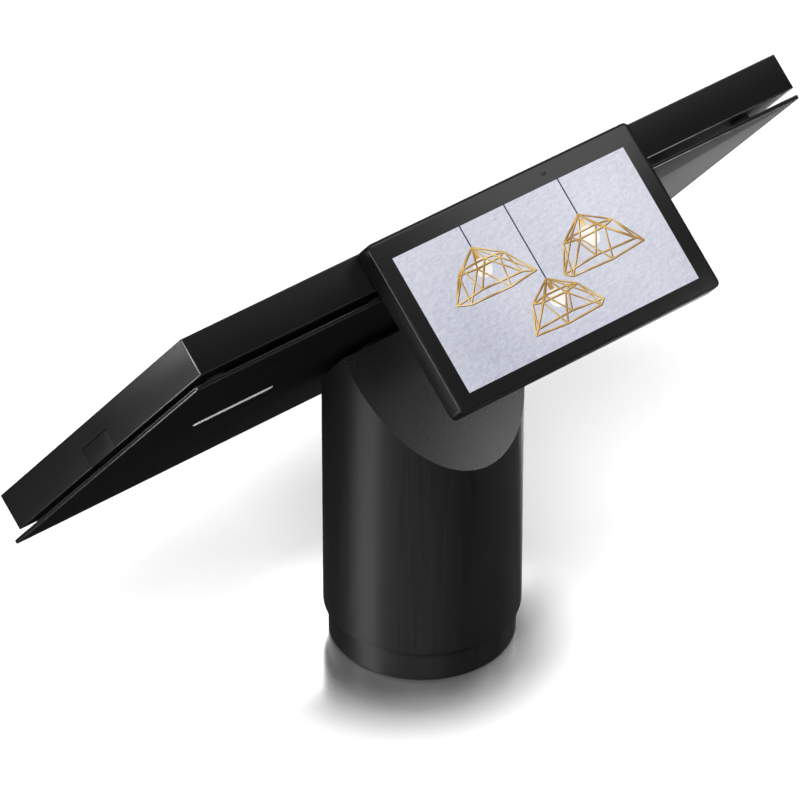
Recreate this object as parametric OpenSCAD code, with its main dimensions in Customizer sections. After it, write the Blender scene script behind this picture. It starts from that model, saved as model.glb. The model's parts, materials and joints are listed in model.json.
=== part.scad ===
// Countertop touch terminal: a wide touchscreen head on a swivelling round column, with a
// tilting customer display behind the head's upper edge. Millimetres, +Z up. The origin is the
// centre of the base's underside, +X runs along the head's long edge, +Y points to the
// operator, who faces the touchscreen, and -Y to the customer.
// Head parts are drawn in the head's own frame: x along the head, y down the screen from its
// upper edge, z out of the screen, with z = 0 on the screen's face.

/* [Head] */
// Width of the head
head_w = 337; // [280:0.5:410]
// Height of the head, measured down its slope
head_h = 201.6; // [192:0.1:245]
// Thickness of the head
head_t = 17.4; // [17:0.1:21]
// Recline of the screen from vertical, in degrees
head_tilt = 40.3; // [36:0.1:46]
// Distance from the head's upper edge down its slope to the column's ridge
head_rise = 95.9; // [80:0.1:102]
// Thickness of the head's side walls
head_wall = 4; // [3.6:0.1:5]
// Rim left around the glass and the back cover
head_rim = 1.2; // [0.8:0.1:2]
// Bevel on the head's edges
head_bevel = 0.5; // [0.2:0.1:0.8]
// Thickness of the cover glass with its touch layer
glass_t = 1.8; // [1:0.1:2]
// Black border left and right of the picture
border_side = 13.55; // [13.5:0.05:30]
// Black border above and below the picture
border_top = 13.65; // [13.6:0.05:30]
// Thickness of the display panel
lcd_t = 3.2; // [2:0.1:3.4]
// Thickness of the head's chassis plate
plate_t = 1.2; // [1:0.1:1.5]
// Thickness of the head's back cover
back_t = 1.2; // [1:0.1:1.5]

/* [Rear panel] */
// Air gap between the head and the floating rear panel
panel_gap = 2.67; // [2.6:0.01:3.2]
// Thickness of the rear panel
panel_t = 2.06; // [1.8:0.01:2.5]
// How far the rear panel stands proud of the head at each side
panel_side = 2.75; // [0:0.05:6]
// How far the rear panel's upper edge lies below the head's
panel_drop = 3.87; // [3.7:0.01:6]
// Badge bar length
badge_l = 44; // [20:1:60]
// Badge bar width
badge_w = 5; // [3:0.5:8]
// Place of the badge bar along the panel
badge_x = -102; // [-110:1:-95]
// Place of the badge bar down the panel
badge_y = 101; // [60:1:130]

/* [Column] */
// Diameter of the column
column_d = 89.84; // [75:0.01:108]
// Height of the column's lower edge above the counter
column_foot = 16.65; // [16.4:0.05:20]
// Height of the column's ridge
ridge_z = 167.08; // [160:0.01:200]
// Distance of the ridge from the column's axis, towards the operator
ridge_y = 1.43; // [0:0.01:3]
// Angle of the customer-side facet from vertical, in degrees
facet_tilt = 41.1; // [38:0.1:46]
// Shadow gap between the column's operator-side slope and the rear panel
shadow_gap = 3.25; // [2:0.05:5]
// Thickness of the column's side wall
column_wall = 2.5; // [2:0.1:3]
// Thickness of the column's facets
facet_wall = 3; // [2.5:0.1:3.5]

/* [Base] */
// Diameter of the base ring
base_d = 85.14; // [71:0.01:100]
// Thickness of the ring's wall
base_wall = 3; // [2:0.1:4]
// Thickness of the soft foot pad
pad_t = 1.4; // [1:0.1:2]
// Radius of the swivel spindle
spindle_r = 11; // [9:0.1:12]
// Running clearance of the spindle in its hub
spindle_fit = 0.05; // [0.02:0.01:0.1]

/* [Neck] */
// Width of the neck block
neck_w = 40; // [34:0.5:44]
// Length of the neck block, measured down the slope
neck_l = 34; // [30:0.5:36]
// Distance from the ridge to the neck block, down the slope
neck_drop = 12; // [11:0.1:13]

/* [Customer display] */
// Width of the customer display
cfd_w = 147.7; // [123:0.1:178]
// Height of the customer display
cfd_h = 82.2; // [76:0.1:99]
// Thickness of the customer display
cfd_t = 9.9; // [9.5:0.1:12]
// Gap between the customer display and the head's upper face
cfd_gap = 1.25; // [0.8:0.05:3]
// Corner radius of the customer display
cfd_r = 2.8; // [1:0.1:5]
// Black border left and right of the customer display's picture
cfd_border_side = 8.5; // [8:0.1:20]
// Black border above that picture
cfd_border_top = 9.69; // [9:0.01:20]
// Black border below that picture
cfd_border_foot = 7.01; // [6:0.01:20]
// Distance of the hinge axis behind the screen's plane
hinge_back = 30.5; // [29:0.1:34]
// Distance of the hinge axis below the head's upper edge
hinge_drop = 5.6; // [5.2:0.1:7]
// Radius of the hinge pin
hinge_pin_r = 2.2; // [1.8:0.1:2.4]
// Running clearance of the hinge pin in the display's barrels
hinge_fit = 0.05; // [0.02:0.01:0.1]

/* [Power key] */
// Length of the power key
key_l = 25.5; // [20:0.1:31]
// Distance from the head's upper edge to the key
key_y = 91.5; // [80:0.1:110]
// Distance of the key's front edge behind the screen's face
key_set = 9.4; // [9.2:0.1:10]
// Travel of the key
key_travel = 0.6; // [0.4:0.1:0.8]
// Gap around the key
key_gap = 0.3; // [0.2:0.05:0.4]

/* [Ports] */
// Width of the port recess
recess_w = 45; // [43:0.5:46]
// Height of the port recess
recess_h = 21; // [20:0.5:24]
// Depth of the recess's floor below the column's surface
recess_depth = 12; // [11.5:0.1:13]
// Middle of the network port
lan_x = -13.5; // [-14:0.1:-13.2]
// Middle of the two USB ports
usb_x = 3; // [2.5:0.1:3.5]
// Middle of the power inlet
inlet_x = 16.5; // [16:0.1:17]

/* [Hidden] */
$fn = 72;

BLACK = [0.09, 0.09, 0.095];
SOFT_BLACK = [0.05, 0.05, 0.055];
STEEL = [0.62, 0.63, 0.65];
ZINC = [0.72, 0.72, 0.70];
IRON = [0.30, 0.30, 0.31];
BRASS = [0.78, 0.66, 0.38];
BOARD_GREEN = [0.10, 0.30, 0.18];
DARK_GLASS = [0.02, 0.02, 0.025];

eps = 0.01;
through = 1;                          // how far a cut runs past the faces it opens
half_w = head_w / 2;
picture_w = head_w - 2 * border_side;
picture_h = head_h - 2 * border_top;
column_r = column_d / 2;
column_in_r = column_r - column_wall;
base_r = base_d / 2;
stack = head_t + panel_gap + panel_t + shadow_gap;   // screen face to the column's slope

// Levels in the head's frame, from the screen's face inwards
z_glass = -glass_t;
z_lcd = z_glass - lcd_t;
z_plate = z_lcd - plate_t;
standoff_h = 2;
board_t = 1.6;
z_board_top = z_plate - standoff_h;
z_board = z_board_top - board_t;
chip_t = 1.4;
spreader_t = 2;
z_spreader = z_board - chip_t - spreader_t;
z_rear = -head_t;
z_back = z_rear + back_t;
z_gap = z_rear - panel_gap;
z_outer = z_gap - panel_t;

// What the head holds, and the panel behind it
boss_in = head_wall + 2.5;            // middle of the back cover's screw posts, from the outer face
speaker_x = head_w * 0.34;
mainboard_x = [-95, 95];
panel_x = [-half_w - panel_side, half_w + panel_side];
panel_y = [panel_drop, panel_drop + head_h + 0.1];
badge_t = 0.8;

// The power key and its switch
key_wall = 2.5;                       // wall left in front of the key's retaining flange
flange_over = 2.2;                    // how far that flange reaches past the key's ends
plunger_y = key_y + key_l / 2;
plunger_z = -key_set - 2.6;
key_inner_x = -half_w + key_wall + 1.3;
switch_x = key_inner_x + key_travel + 0.5;

// Levels of the swivel, from the counter upwards
ring_foot = 0.6;
ring_gap = 0.35;                      // ring to the turning column
ring_top = column_foot - ring_gap;
ring_lip_t = 1.1;
ring_lip_w = 2;
ballast_top = ring_top - ring_lip_t;
washer_t = 1.5;
thrust_gap = 0.1;
flange_z = ballast_top + washer_t + thrust_gap;
flange_t = 4;
flange_top = flange_z + flange_t;
hub_r = spindle_r + 5;
hub_h = 4;
collar_h = 4;
collar_r = spindle_r + 4.5;
stop_r = 1.5;
stop_z = flange_top + hub_h + 2.3;
retain_z = flange_top + hub_h + collar_h + thrust_gap;
retain_t = 1.5;
nut_z = retain_z + retain_t;
nut_t = 4;
spindle_top = nut_z + nut_t + 1.5;
spindle_foot_r = 20;
spindle_foot_t = 3.5;
foot_screw_pcd = 31;
boss_circle_r = column_r - 5.7;
boss_r = 3.6;
boss_top = flange_top + 13;

// The hinge of the customer display
hinge_y = hinge_drop;
hinge_z = -hinge_back;
knuckle_r = hinge_pin_r + 1.8;
knuckle_half = 18;
barrel_in = 18.4;
barrel_out = 28;
cfd_back = -cfd_gap;                  // display's rear face, in the head's frame
cfd_front = cfd_back - cfd_t;
cfd_wall = 1.8;
cfd_back_wall = 1.5;
cfd_glass_t = 1.2;
cfd_lcd_t = 2.6;
cfd_rim = 0.9;
leaf_t = 1.5;
leaf_len = 24;
leaf_z = hinge_z + 5;                 // leaf's end nearest the head
bracket_t = 2.2;
bracket_l = 62;
bracket_w = 40;
web_y = hinge_y - knuckle_r - 0.6;
cable_r = 1.15;
cable_x = -31.5;
cable_y = 23;
cable_turn_y = web_y + 0.6;
cfd_x = [-cfd_w / 2, cfd_w / 2];
cfd_z = [-cfd_h, 0];
cfd_picture_w = cfd_w - 2 * cfd_border_side;
cfd_picture_h = cfd_h - cfd_border_top - cfd_border_foot;
cfd_mid = -cfd_border_top - cfd_picture_h / 2;   // middle of the picture
leaf_screw_z = [leaf_z - 13, leaf_z - 20];
leaf_screw_x = 22;
lead_x = barrel_out + 4;
sensor_x = 22.7;

// The port recess on the operator's side
recess_wall = 1.5;
recess_y = column_r - recess_depth;   // outer face of the recess's floor
io_board_z = spindle_top + 0.8;
io_board_t = 1.6;
port_z = io_board_z + io_board_t;     // ports stand on the board's upper face
recess_z = port_z - 1.7;
io_front = 13;
io_back = recess_y - 2;
lan_w = 16;
lan_h = 13.4;
usb_w = 13.2;
usb_h = 15.6;
usb_levels = [port_z + 1.8, port_z + 9.4];
inlet_w = 9;
inlet_h = 11;
port_len = 14.5;
plug_h = 4;                           // height of the harness's plug on the board

// The chassis in the column
chassis_half = 26;
chassis_wall = 3;
chassis_front = -21;
deck_drop = 10.6;                     // column's slope to the chassis deck under it
chassis_deck = -(stack + deck_drop);  // the deck's upper face, in the head's frame
chassis_low_back = io_front - 1;
chassis_high_back = ridge_y + 22.5;
chassis_step_z = 75;

neck_y = head_rise + neck_drop;
neck_slot_half = 8;
neck_screw_x = neck_w / 2 - 6;
neck_screw_y = [neck_y + 5, neck_y + neck_l - 5];
neck_exit_z = z_board - 3;            // the harness leaves the neck at this level
mainboard_y = [14, neck_y - 8];

// ---- Shared shapes and places ------------------------------------------------------------

// Box between two corners, given as a range on each axis
module span(x, y, z)
    translate([x[0], y[0], z[0]]) cube([x[1] - x[0], y[1] - y[0], z[1] - z[0]]);

// Rectangle with its four corners cut off at 45 degrees
module cut_rect(a, b, c)
    polygon([
        [a[0] + c, b[0]], [a[1] - c, b[0]], [a[1], b[0] + c], [a[1], b[1] - c],
        [a[1] - c, b[1]], [a[0] + c, b[1]], [a[0], b[1] - c], [a[0], b[0] + c]
    ]);

// Prism along X of an outline given in Y and Z
module along_x(x)
    translate([x[0], 0, 0]) rotate([90, 0, 90]) linear_extrude(x[1] - x[0]) children();

// Box with every edge bevelled
module bevelled(x, y, z, c)
    intersection() {
        translate([0, 0, z[0]]) linear_extrude(z[1] - z[0]) cut_rect(x, y, c);
        along_x(x) cut_rect(y, z, c);
        translate([0, y[1], 0]) rotate([90, 0, 0]) linear_extrude(y[1] - y[0]) cut_rect(x, z, c);
    }

// Rectangle with round corners
module round_rect(a, b, r) {
    translate([a[0] + r, b[0]]) square([a[1] - a[0] - 2 * r, b[1] - b[0]]);
    translate([a[0], b[0] + r]) square([a[1] - a[0], b[1] - b[0] - 2 * r]);
    for (x = [a[0] + r, a[1] - r], y = [b[0] + r, b[1] - r]) translate([x, y]) circle(r);
}

// Cylinder along X
module rod_x(x, y, z, r) translate([x[0], y, z]) rotate([0, 90, 0]) cylinder(r = r, h = x[1] - x[0]);

// Cylinder along Y
module rod_y(x, y, z, r) translate([x, y[0], z]) rotate([-90, 0, 0]) cylinder(r = r, h = y[1] - y[0]);

// Cylinder along Z
module rod_z(x, y, z, r) translate([x, y, z[0]]) cylinder(r = r, h = z[1] - z[0]);

// Cylinder between two points
module rod(a, b, r) {
    d = b - a;
    translate(a) rotate([0, atan2(norm([d.x, d.y]), d.z), atan2(d.y, d.x)]) cylinder(r = r, h = norm(d), $fn = 24);
}

// Round cable along a list of points
module run(points, r) {
    for (i = [1:len(points) - 1]) rod(points[i - 1], points[i], r);
    for (i = [1:len(points) - 2]) translate(points[i]) sphere(r + 0.04, $fn = 24);
}

// The head's frame, with its upper screen edge at y = 0 and its face at z = 0
module at_head()
    translate([0, ridge_y, ridge_z]) rotate([head_tilt - 90, 0, 0]) translate([0, -head_rise, stack])
        children();

// A point of the head's frame, in the object's frame
function head_point(x, y, z) = [
    x,
    ridge_y + (y - head_rise) * sin(head_tilt) + (z + stack) * cos(head_tilt),
    ridge_z - (y - head_rise) * cos(head_tilt) + (z + stack) * sin(head_tilt)
];

// Height at y of the plane parallel to the screen and depth below its face
function slope_z(y, depth) = ridge_z - (depth - stack) / sin(head_tilt) - (y - ridge_y) / tan(head_tilt);

// Height at y of the plane parallel to the customer-side facet, inset below it
function facet_z(y, inset) = ridge_z + (y - ridge_y) / tan(facet_tilt) - inset / sin(facet_tilt);

// Where the two facets meet when both are inset
function apex_y(inset) =
    ridge_y + inset * (1 / sin(facet_tilt) - 1 / sin(head_tilt)) / (1 / tan(head_tilt) + 1 / tan(facet_tilt));

// Everything under the two facets, inset from them, down to a floor
module gable(floor_z, inset) {
    reach = column_r + through;
    along_x([-reach, reach]) polygon([
        [-reach, floor_z], [reach, floor_z], [reach, slope_z(reach, stack + inset)],
        [apex_y(inset), facet_z(apex_y(inset), inset)], [-reach, facet_z(-reach, inset)]
    ]);
}

// ---- Base --------------------------------------------------------------------------------

module foot_pad()
    color(SOFT_BLACK) cylinder(r = base_r - base_wall - 0.2, h = pad_t);

module base_ring()
    color(BLACK) rotate_extrude($fn = 120) polygon([
        [base_r - base_wall, ring_foot], [base_r - 0.6, ring_foot], [base_r, ring_foot + 0.6],
        [base_r, ring_top - 0.4], [base_r - 0.4, ring_top], [base_r - base_wall - ring_lip_w, ring_top],
        [base_r - base_wall - ring_lip_w, ballast_top], [base_r - base_wall, ballast_top]
    ]);

module ballast_plate()
    color(IRON) difference() {
        translate([0, 0, pad_t]) cylinder(r = base_r - base_wall - 0.1, h = ballast_top - pad_t, $fn = 120);
        rod_z(0, 0, [pad_t - through, pad_t + spindle_foot_t], spindle_foot_r + 0.05);
        rod_z(0, 0, [pad_t, ballast_top + through], spindle_r + 0.05);
        foot_screw_places() rod_z(0, 0, [pad_t, pad_t + 11], 1.6);
    }

module foot_screw_places()
    for (a = [45:90:315]) rotate(a) translate([foot_screw_pcd / 2, 0, 0]) children();

module swivel_spindle()
    color(STEEL) difference() {
        union() {
            rod_z(0, 0, [pad_t, pad_t + spindle_foot_t], spindle_foot_r);
            rod_z(0, 0, [pad_t, spindle_top], spindle_r);
        }
        foot_screw_places() {
            rod_z(0, 0, [pad_t - through, pad_t + 2], 3);
            rod_z(0, 0, [pad_t, pad_t + spindle_foot_t + through], 1.7);
        }
        rotate(-90) rod_x([spindle_r - 6, spindle_r + through], 0, stop_z, stop_r + 0.01);
    }

module spindle_screws()
    color(ZINC) foot_screw_places() {
        rod_z(0, 0, [pad_t + 0.1, pad_t + 2], 2.9);
        rod_z(0, 0, [pad_t + 1, pad_t + 10], 1.55);
    }

module thrust_washer()
    color(SOFT_BLACK) translate([0, 0, ballast_top]) difference() {
        cylinder(r = base_r * 0.72, h = washer_t);
        translate([0, 0, -through]) cylinder(r = spindle_r + 1, h = washer_t + 2 * through);
    }

module stop_pin()
    color(STEEL) rotate(-90) rod_x([spindle_r - 6, collar_r - 0.5], 0, stop_z, stop_r);

module retaining_washer()
    color(STEEL) difference() {
        rod_z(0, 0, [retain_z, retain_z + retain_t], hub_r - 0.5);
        rod_z(0, 0, [retain_z - through, retain_z + retain_t + through], spindle_r + 0.05);
    }

module spindle_nut()
    color(ZINC) difference() {
        translate([0, 0, nut_z]) cylinder(r = spindle_r + 5, h = nut_t, $fn = 6);
        rod_z(0, 0, [nut_z - through, nut_z + nut_t + through], spindle_r + 0.05);
    }

// ---- Column ------------------------------------------------------------------------------

module boss_places()
    for (a = [35, 145, 215, 325]) rotate(a) translate([boss_circle_r, 0, 0]) children();

// The half collar stands behind the stop pin, so the column turns a quarter turn each way
module swivel_flange() {
    stop_angle = asin(stop_r / (spindle_r + 0.3)) + 1;
    color(IRON) difference() {
        union() {
            rod_z(0, 0, [flange_z, flange_top], column_in_r - 0.2);
            rod_z(0, 0, [flange_z, flange_top + hub_h], hub_r);
            intersection() {
                rod_z(0, 0, [flange_top, flange_top + hub_h + collar_h], collar_r);
                rotate(stop_angle) span([-hub_r * 2, hub_r * 2], [0, hub_r * 2], [0, ridge_z]);
                rotate(-stop_angle) span([-hub_r * 2, hub_r * 2], [0, hub_r * 2], [0, ridge_z]);
            }
            io_post_places() rod_z(0, 0, [flange_top - eps, io_board_z], 2.5);
        }
        rod_z(0, 0, [flange_z - through, flange_top + hub_h + collar_h + through], spindle_r + spindle_fit);
        boss_places() {
            rod_z(0, 0, [flange_z - through, flange_z + 1.8], 2.8);
            rod_z(0, 0, [flange_z, flange_top + through], 1.7);
        }
        io_post_places() rod_z(0, 0, [flange_top + 2, io_board_z + through], 1.1);
    }
}

module io_post_places()
    for (x = [-19, 19], y = [io_front + 4, io_back - 4]) translate([x, y, 0]) children();

module flange_screws()
    color(ZINC) boss_places() {
        rod_z(0, 0, [flange_z + 0.2, flange_z + 1.8], 2.6);
        rod_z(0, 0, [flange_z + 1, flange_top + 9], 1.5);
    }

module column_shell()
    color(BLACK) difference() {
        union() {
            difference() {
                intersection() {
                    rotate_extrude($fn = 144) polygon([
                        [0, column_foot], [column_r - 0.3, column_foot], [column_r, column_foot + 0.3],
                        [column_r, ridge_z + through], [0, ridge_z + through]
                    ]);
                    gable(0, 0);
                }
                intersection() {
                    rod_z(0, 0, [0, ridge_z], column_in_r);
                    gable(0, facet_wall);
                }
            }
            boss_places() intersection() {
                rod_z(0, 0, [flange_top, boss_top], boss_r);
                rod_z(-boss_circle_r, 0, [0, ridge_z], column_r - 0.4);
            }
        }
        boss_places() rod_z(0, 0, [flange_top - through, flange_top + 10], 1.5);
        span([-recess_w / 2 - recess_wall, recess_w / 2 + recess_wall], [0, column_r + through],
            [recess_z - recess_wall, recess_z + recess_h + recess_wall]);
        at_head() neck_hole([-stack - facet_wall * 2, -stack + through]);
    }

// Clearance hole around the neck block
module neck_hole(z)
    span([-neck_w / 2 - 0.3, neck_w / 2 + 0.3], [neck_y - 0.3, neck_y + neck_l + 0.3], z);

module port_panel()
    color(SOFT_BLACK) difference() {
        union() {
            intersection() {
                span([-recess_w / 2 - recess_wall, recess_w / 2 + recess_wall], [recess_y - 2, column_r],
                    [recess_z - recess_wall, recess_z + recess_h + recess_wall]);
                rod_z(0, 0, [0, ridge_z], column_r - 0.3, $fn = 144);
            }
            intersection() {
                span([-recess_w / 2 - 4, recess_w / 2 + 4], [recess_y - 2, recess_y],
                    [recess_z - recess_wall - 3, recess_z + recess_h + recess_wall + 3]);
                rod_z(0, 0, [0, ridge_z], column_in_r - 0.1);
            }
        }
        span([-recess_w / 2, recess_w / 2], [recess_y, column_r + through], [recess_z, recess_z + recess_h]);
        port_cut(lan_x, lan_w, lan_h);
        port_cut(usb_x, usb_w, usb_h);
        port_cut(inlet_x, inlet_w, inlet_h);
        span([-recess_w / 2 - through, recess_w / 2 + through], [0, recess_y - 1], [0, port_z + 0.1]);
    }

module port_cut(x, w, h)
    span([x - w / 2 - 0.1, x + w / 2 + 0.1], [recess_y - 2 - through, recess_y + through],
        [port_z - 0.1, port_z + h + 0.1]);

module port_block(x, w, h, length)
    span([x - w / 2, x + w / 2], [recess_y - length, recess_y], [port_z, port_z + h]);

module io_board()
    color(BOARD_GREEN) difference() {
        union() {
            span([-22.5, 22.5], [io_front, io_back], [io_board_z, port_z]);
            span([-6, 6], [io_front, io_front + 4], [port_z - eps, port_z + plug_h]);
        }
        io_post_places() rod_z(0, 0, [io_board_z - through, port_z + through], 1.2);
    }

module lan_port()
    color(STEEL) difference() {
        port_block(lan_x, lan_w, lan_h, port_len);
        span([lan_x - 5.9, lan_x + 5.9], [recess_y - 12.5, recess_y + through], [port_z + 2.2, port_z + 10.4]);
    }

module usb_ports()
    color(STEEL) {
        difference() {
            port_block(usb_x, usb_w, usb_h, port_len);
            for (z = usb_levels)
                span([usb_x - 6, usb_x + 6], [recess_y - 10, recess_y + through], [z, z + 4.6]);
        }
        for (z = usb_levels)
            span([usb_x - 5.2, usb_x + 5.2], [recess_y - 10 - eps, recess_y - 1], [z + 2.7, z + 4.4]);
    }

module power_inlet()
    color(SOFT_BLACK) {
        difference() {
            port_block(inlet_x, inlet_w, inlet_h, port_len);
            rod_y(inlet_x, [recess_y - 10, recess_y + through], port_z + 5.8, 3.2);
        }
        rod_y(inlet_x, [recess_y - 10 - eps, recess_y - 1], port_z + 5.8, 1);
    }

// Sheet-steel frame, open to the ports, that carries the neck block
module column_chassis() {
    deck_back = slope_z(chassis_high_back, -chassis_deck);
    deck_front_y = ridge_y - 3.4;
    color(STEEL) difference() {
        along_x([-chassis_half, chassis_half]) polygon([
            [chassis_front, flange_top], [chassis_low_back, flange_top], [chassis_low_back, chassis_step_z],
            [chassis_high_back, chassis_step_z + chassis_high_back - chassis_low_back],
            [chassis_high_back, deck_back], [deck_front_y, slope_z(deck_front_y, -chassis_deck)],
            [chassis_front, facet_z(chassis_front, facet_wall + 5)]
        ]);
        along_x([-chassis_half + chassis_wall, chassis_half - chassis_wall]) polygon([
            [chassis_front + chassis_wall, flange_top - through], [column_r, flange_top - through],
            [column_r, slope_z(column_r, -chassis_deck + chassis_wall)],
            [deck_front_y, slope_z(deck_front_y, -chassis_deck + chassis_wall)],
            [chassis_front + chassis_wall, facet_z(chassis_front + chassis_wall, facet_wall + 9)]
        ]);
        at_head() {
            neck_slot([chassis_deck - chassis_wall * 2, chassis_deck + through]);
            neck_screw_places() rod_z(0, 0, [chassis_deck - chassis_wall * 2, chassis_deck + through], 2.2);
        }
    }
}

// Cable from the port board, up the column, through the neck to the mainboard
module column_harness()
    color(SOFT_BLACK) run([
        [0, io_front + 2, port_z + plug_h], [0, io_front + 2, port_z + plug_h + 6],
        head_point(0, neck_y + neck_l / 2, chassis_deck - 6),
        head_point(0, neck_y + neck_l / 2, neck_exit_z),
        head_point(0, mainboard_y[1], neck_exit_z)
    ], 2.5);

// ---- Neck --------------------------------------------------------------------------------

module neck_slot(z)
    span([-neck_slot_half, neck_slot_half], [neck_y + 10, neck_y + neck_l - 10], z);

module neck_screw_places()
    for (x = [-neck_screw_x, neck_screw_x], y = neck_screw_y) translate([x, y, 0]) children();

module neck_block()
    color(ZINC) at_head() difference() {
        span([-neck_w / 2, neck_w / 2], [neck_y, neck_y + neck_l], [chassis_deck, z_plate]);
        neck_slot([chassis_deck - through, neck_exit_z]);
        span([-neck_slot_half, neck_slot_half], [neck_y - through, neck_y + neck_l - 10],
            [neck_exit_z - 3.2, neck_exit_z + 3]);
        neck_screw_places() rod_z(0, 0, [chassis_deck - through, z_plate + through], 2.2);
    }

module neck_screws()
    color(ZINC) at_head() neck_screw_places() {
        rod_z(0, 0, [chassis_deck - chassis_wall - 3.2, chassis_deck - chassis_wall], 3.5);
        rod_z(0, 0, [chassis_deck - chassis_wall - 1, z_lcd - 0.2], 1.95);
    }

// ---- Head --------------------------------------------------------------------------------

module back_screw_places() {
    for (x = [-half_w + boss_in, half_w - boss_in], y = [boss_in, head_h * 0.25, head_h * 0.75, head_h - boss_in])
        translate([x, y, 0]) children();
    for (x = [-head_w / 6, head_w / 6], y = [boss_in, head_h - boss_in]) translate([x, y, 0]) children();
}

module key_pocket(z)
    span([-half_w + key_wall, -half_w + head_wall + 0.1], [key_y - 3.2, key_y + key_l + 3.2], z);

module head_shell()
    color(BLACK) at_head() difference() {
        union() {
            difference() {
                bevelled([-half_w, half_w], [0, head_h], [z_rear, 0], head_bevel);
                span([-half_w + head_rim, half_w - head_rim], [head_rim, head_h - head_rim], [z_glass, through]);
                span([-half_w + head_wall, half_w - head_wall], [head_wall, head_h - head_wall],
                    [z_rear - through, through]);
                span([-half_w + head_rim, half_w - head_rim], [head_rim, head_h - head_rim],
                    [z_rear - through, z_back]);
            }
            back_screw_places() span([-3, 3], [-3, 3], [z_back, z_plate]);
        }
        back_screw_places() rod_z(0, 0, [z_back - through, z_plate - 1.5], 1.1);
        span([-half_w - through, -half_w + head_wall], [key_y - key_gap, key_y + key_l + key_gap],
            [z_rear - through, -key_set + key_gap]);
        key_pocket([z_rear - through, -key_set + 1.8]);
        speaker_slots();
    }

module speaker_slots()
    for (side = [-1, 1], i = [-3:3])
        span([side * speaker_x + i * 4 - 1, side * speaker_x + i * 4 + 1],
            [head_h - head_wall - through, head_h + through], [-12.4, -8.4]);

module cover_glass()
    color(DARK_GLASS) at_head()
        span([-half_w + head_rim + 0.1, half_w - head_rim - 0.1], [head_rim + 0.1, head_h - head_rim - 0.1],
            [z_glass, 0]);

module lcd_panel()
    color(SOFT_BLACK) at_head()
        span([-picture_w / 2 - 3, picture_w / 2 + 3],
            [head_h / 2 - picture_h / 2 - 5.9, head_h / 2 + picture_h / 2 + 5.9], [z_lcd, z_glass]);

module head_chassis()
    color(STEEL) at_head() difference() {
        union() {
            span([-half_w + head_wall + 0.2, half_w - head_wall - 0.2], [head_wall + 0.2, head_h - head_wall - 0.2],
                [z_plate, z_lcd]);
            board_screw_places() rod_z(0, 0, [z_board_top, z_lcd], 2.5);
        }
        board_screw_places() rod_z(0, 0, [z_board_top - through, z_lcd - 0.3], 1.1);
        neck_screw_places() rod_z(0, 0, [z_plate - through, z_lcd - 0.1], 2);
    }

module board_screw_places()
    for (x = [mainboard_x[0] + 5, 20, mainboard_x[1] - 5], y = [mainboard_y[0] + 5, mainboard_y[1] - 5])
        translate([x, y, 0]) children();

module mainboard()
    color(BOARD_GREEN) at_head() difference() {
        union() {
            span(mainboard_x, mainboard_y, [z_board, z_board_top]);
            span([-54, -32], [44, 66], [z_board - chip_t, z_board]);
            for (x = [32, 50]) span([x, x + 13], [48, 60], [z_board - 1.2, z_board]);
            span([72, 90], [40, 74], [z_board - 2.6, z_board]);
            for (x = [-88, 20]) rod_z(x, 66, [z_board - 3.5, z_board], 4);
        }
        board_screw_places() rod_z(0, 0, [z_board - through, z_board_top + through], 1.2);
        rod_z(cable_x, cable_y, [z_board - through, z_board_top + through], 1.3);
    }

module board_screws()
    color(ZINC) at_head() board_screw_places() {
        rod_z(0, 0, [z_board - 1.4, z_board], 2.2);
        rod_z(0, 0, [z_board - 0.5, z_plate + 0.4], 1.05);
    }

module heat_spreader()
    color(STEEL) at_head() span([-78, -8], [32, 78], [z_spreader, z_spreader + spreader_t]);

module thermal_pad()
    color(ZINC) at_head() span([-60, -26], [38, 72], [z_back, z_spreader]);

module speakers()
    color(SOFT_BLACK) at_head() for (side = [-1, 1])
        span([side * speaker_x - 24, side * speaker_x + 24], [head_h - head_wall - 11, head_h - head_wall],
            [z_plate - 8, z_plate]);

module wifi_antennas()
    color(BRASS) at_head() for (side = [-1, 1])
        span([side * speaker_x - 21, side * speaker_x + 21], [head_wall, head_wall + 0.8],
            [z_plate - 7, z_plate - 0.5]);

module head_back()
    color(BLACK) at_head() difference() {
        union() {
            span([-half_w + head_rim + 0.1, half_w - head_rim - 0.1], [head_rim + 0.1, head_h - head_rim - 0.1],
                [z_rear, z_back]);
            bracket_screw_places() rod_z(0, 0, [z_back - eps, z_back + 1.8], 3);
        }
        back_screw_places() {
            rod_z(0, 0, [z_rear - through, z_back + through], 1.4);
            rod_z(0, 0, [z_rear - through, z_rear + 0.7], 2.3);
        }
        panel_screw_places() rod_z(0, 0, [z_rear - through, z_back + through], 1.4);
        bracket_screw_places() rod_z(0, 0, [z_rear - through, z_back + 2.8], 1.5);
        rod_z(cable_x, cable_y, [z_rear - through, z_back + through], 1.5);
        neck_hole([z_rear - through, z_back + through]);
        span([-half_w, key_inner_x + key_travel + 0.3], [key_y - 3.2, key_y + key_l + 3.2],
            [z_rear - through, z_back + through]);
    }

module back_screws()
    color(ZINC) at_head() back_screw_places() {
        rod_z(0, 0, [z_rear + 0.05, z_rear + 0.7], 2.2);
        rod_z(0, 0, [z_rear + 0.5, z_back + 6], 1.05);
    }

module panel_screw_places()
    for (x = [-1, 1], k = [0.18, 0.445], y = [22, head_h - 20]) translate([x * head_w * k, y, 0]) children();

module rear_panel()
    color(BLACK) at_head() difference() {
        bevelled(panel_x, panel_y, [z_outer, z_gap], 0.4);
        neck_hole([z_outer - through, z_gap + through]);
        panel_screw_places() rod_z(0, 0, [z_outer + 0.7, z_gap + through], 1.25);
        badge_outline([z_outer - through, z_outer + badge_t - 0.2], 0.05);
    }

module badge_outline(z, grow)
    translate([badge_x, badge_y, z[0]]) linear_extrude(z[1] - z[0])
        round_rect([-badge_l / 2 - grow, badge_l / 2 + grow], [-badge_w / 2 - grow, badge_w / 2 + grow],
            badge_w / 2 + grow - eps);

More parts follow.
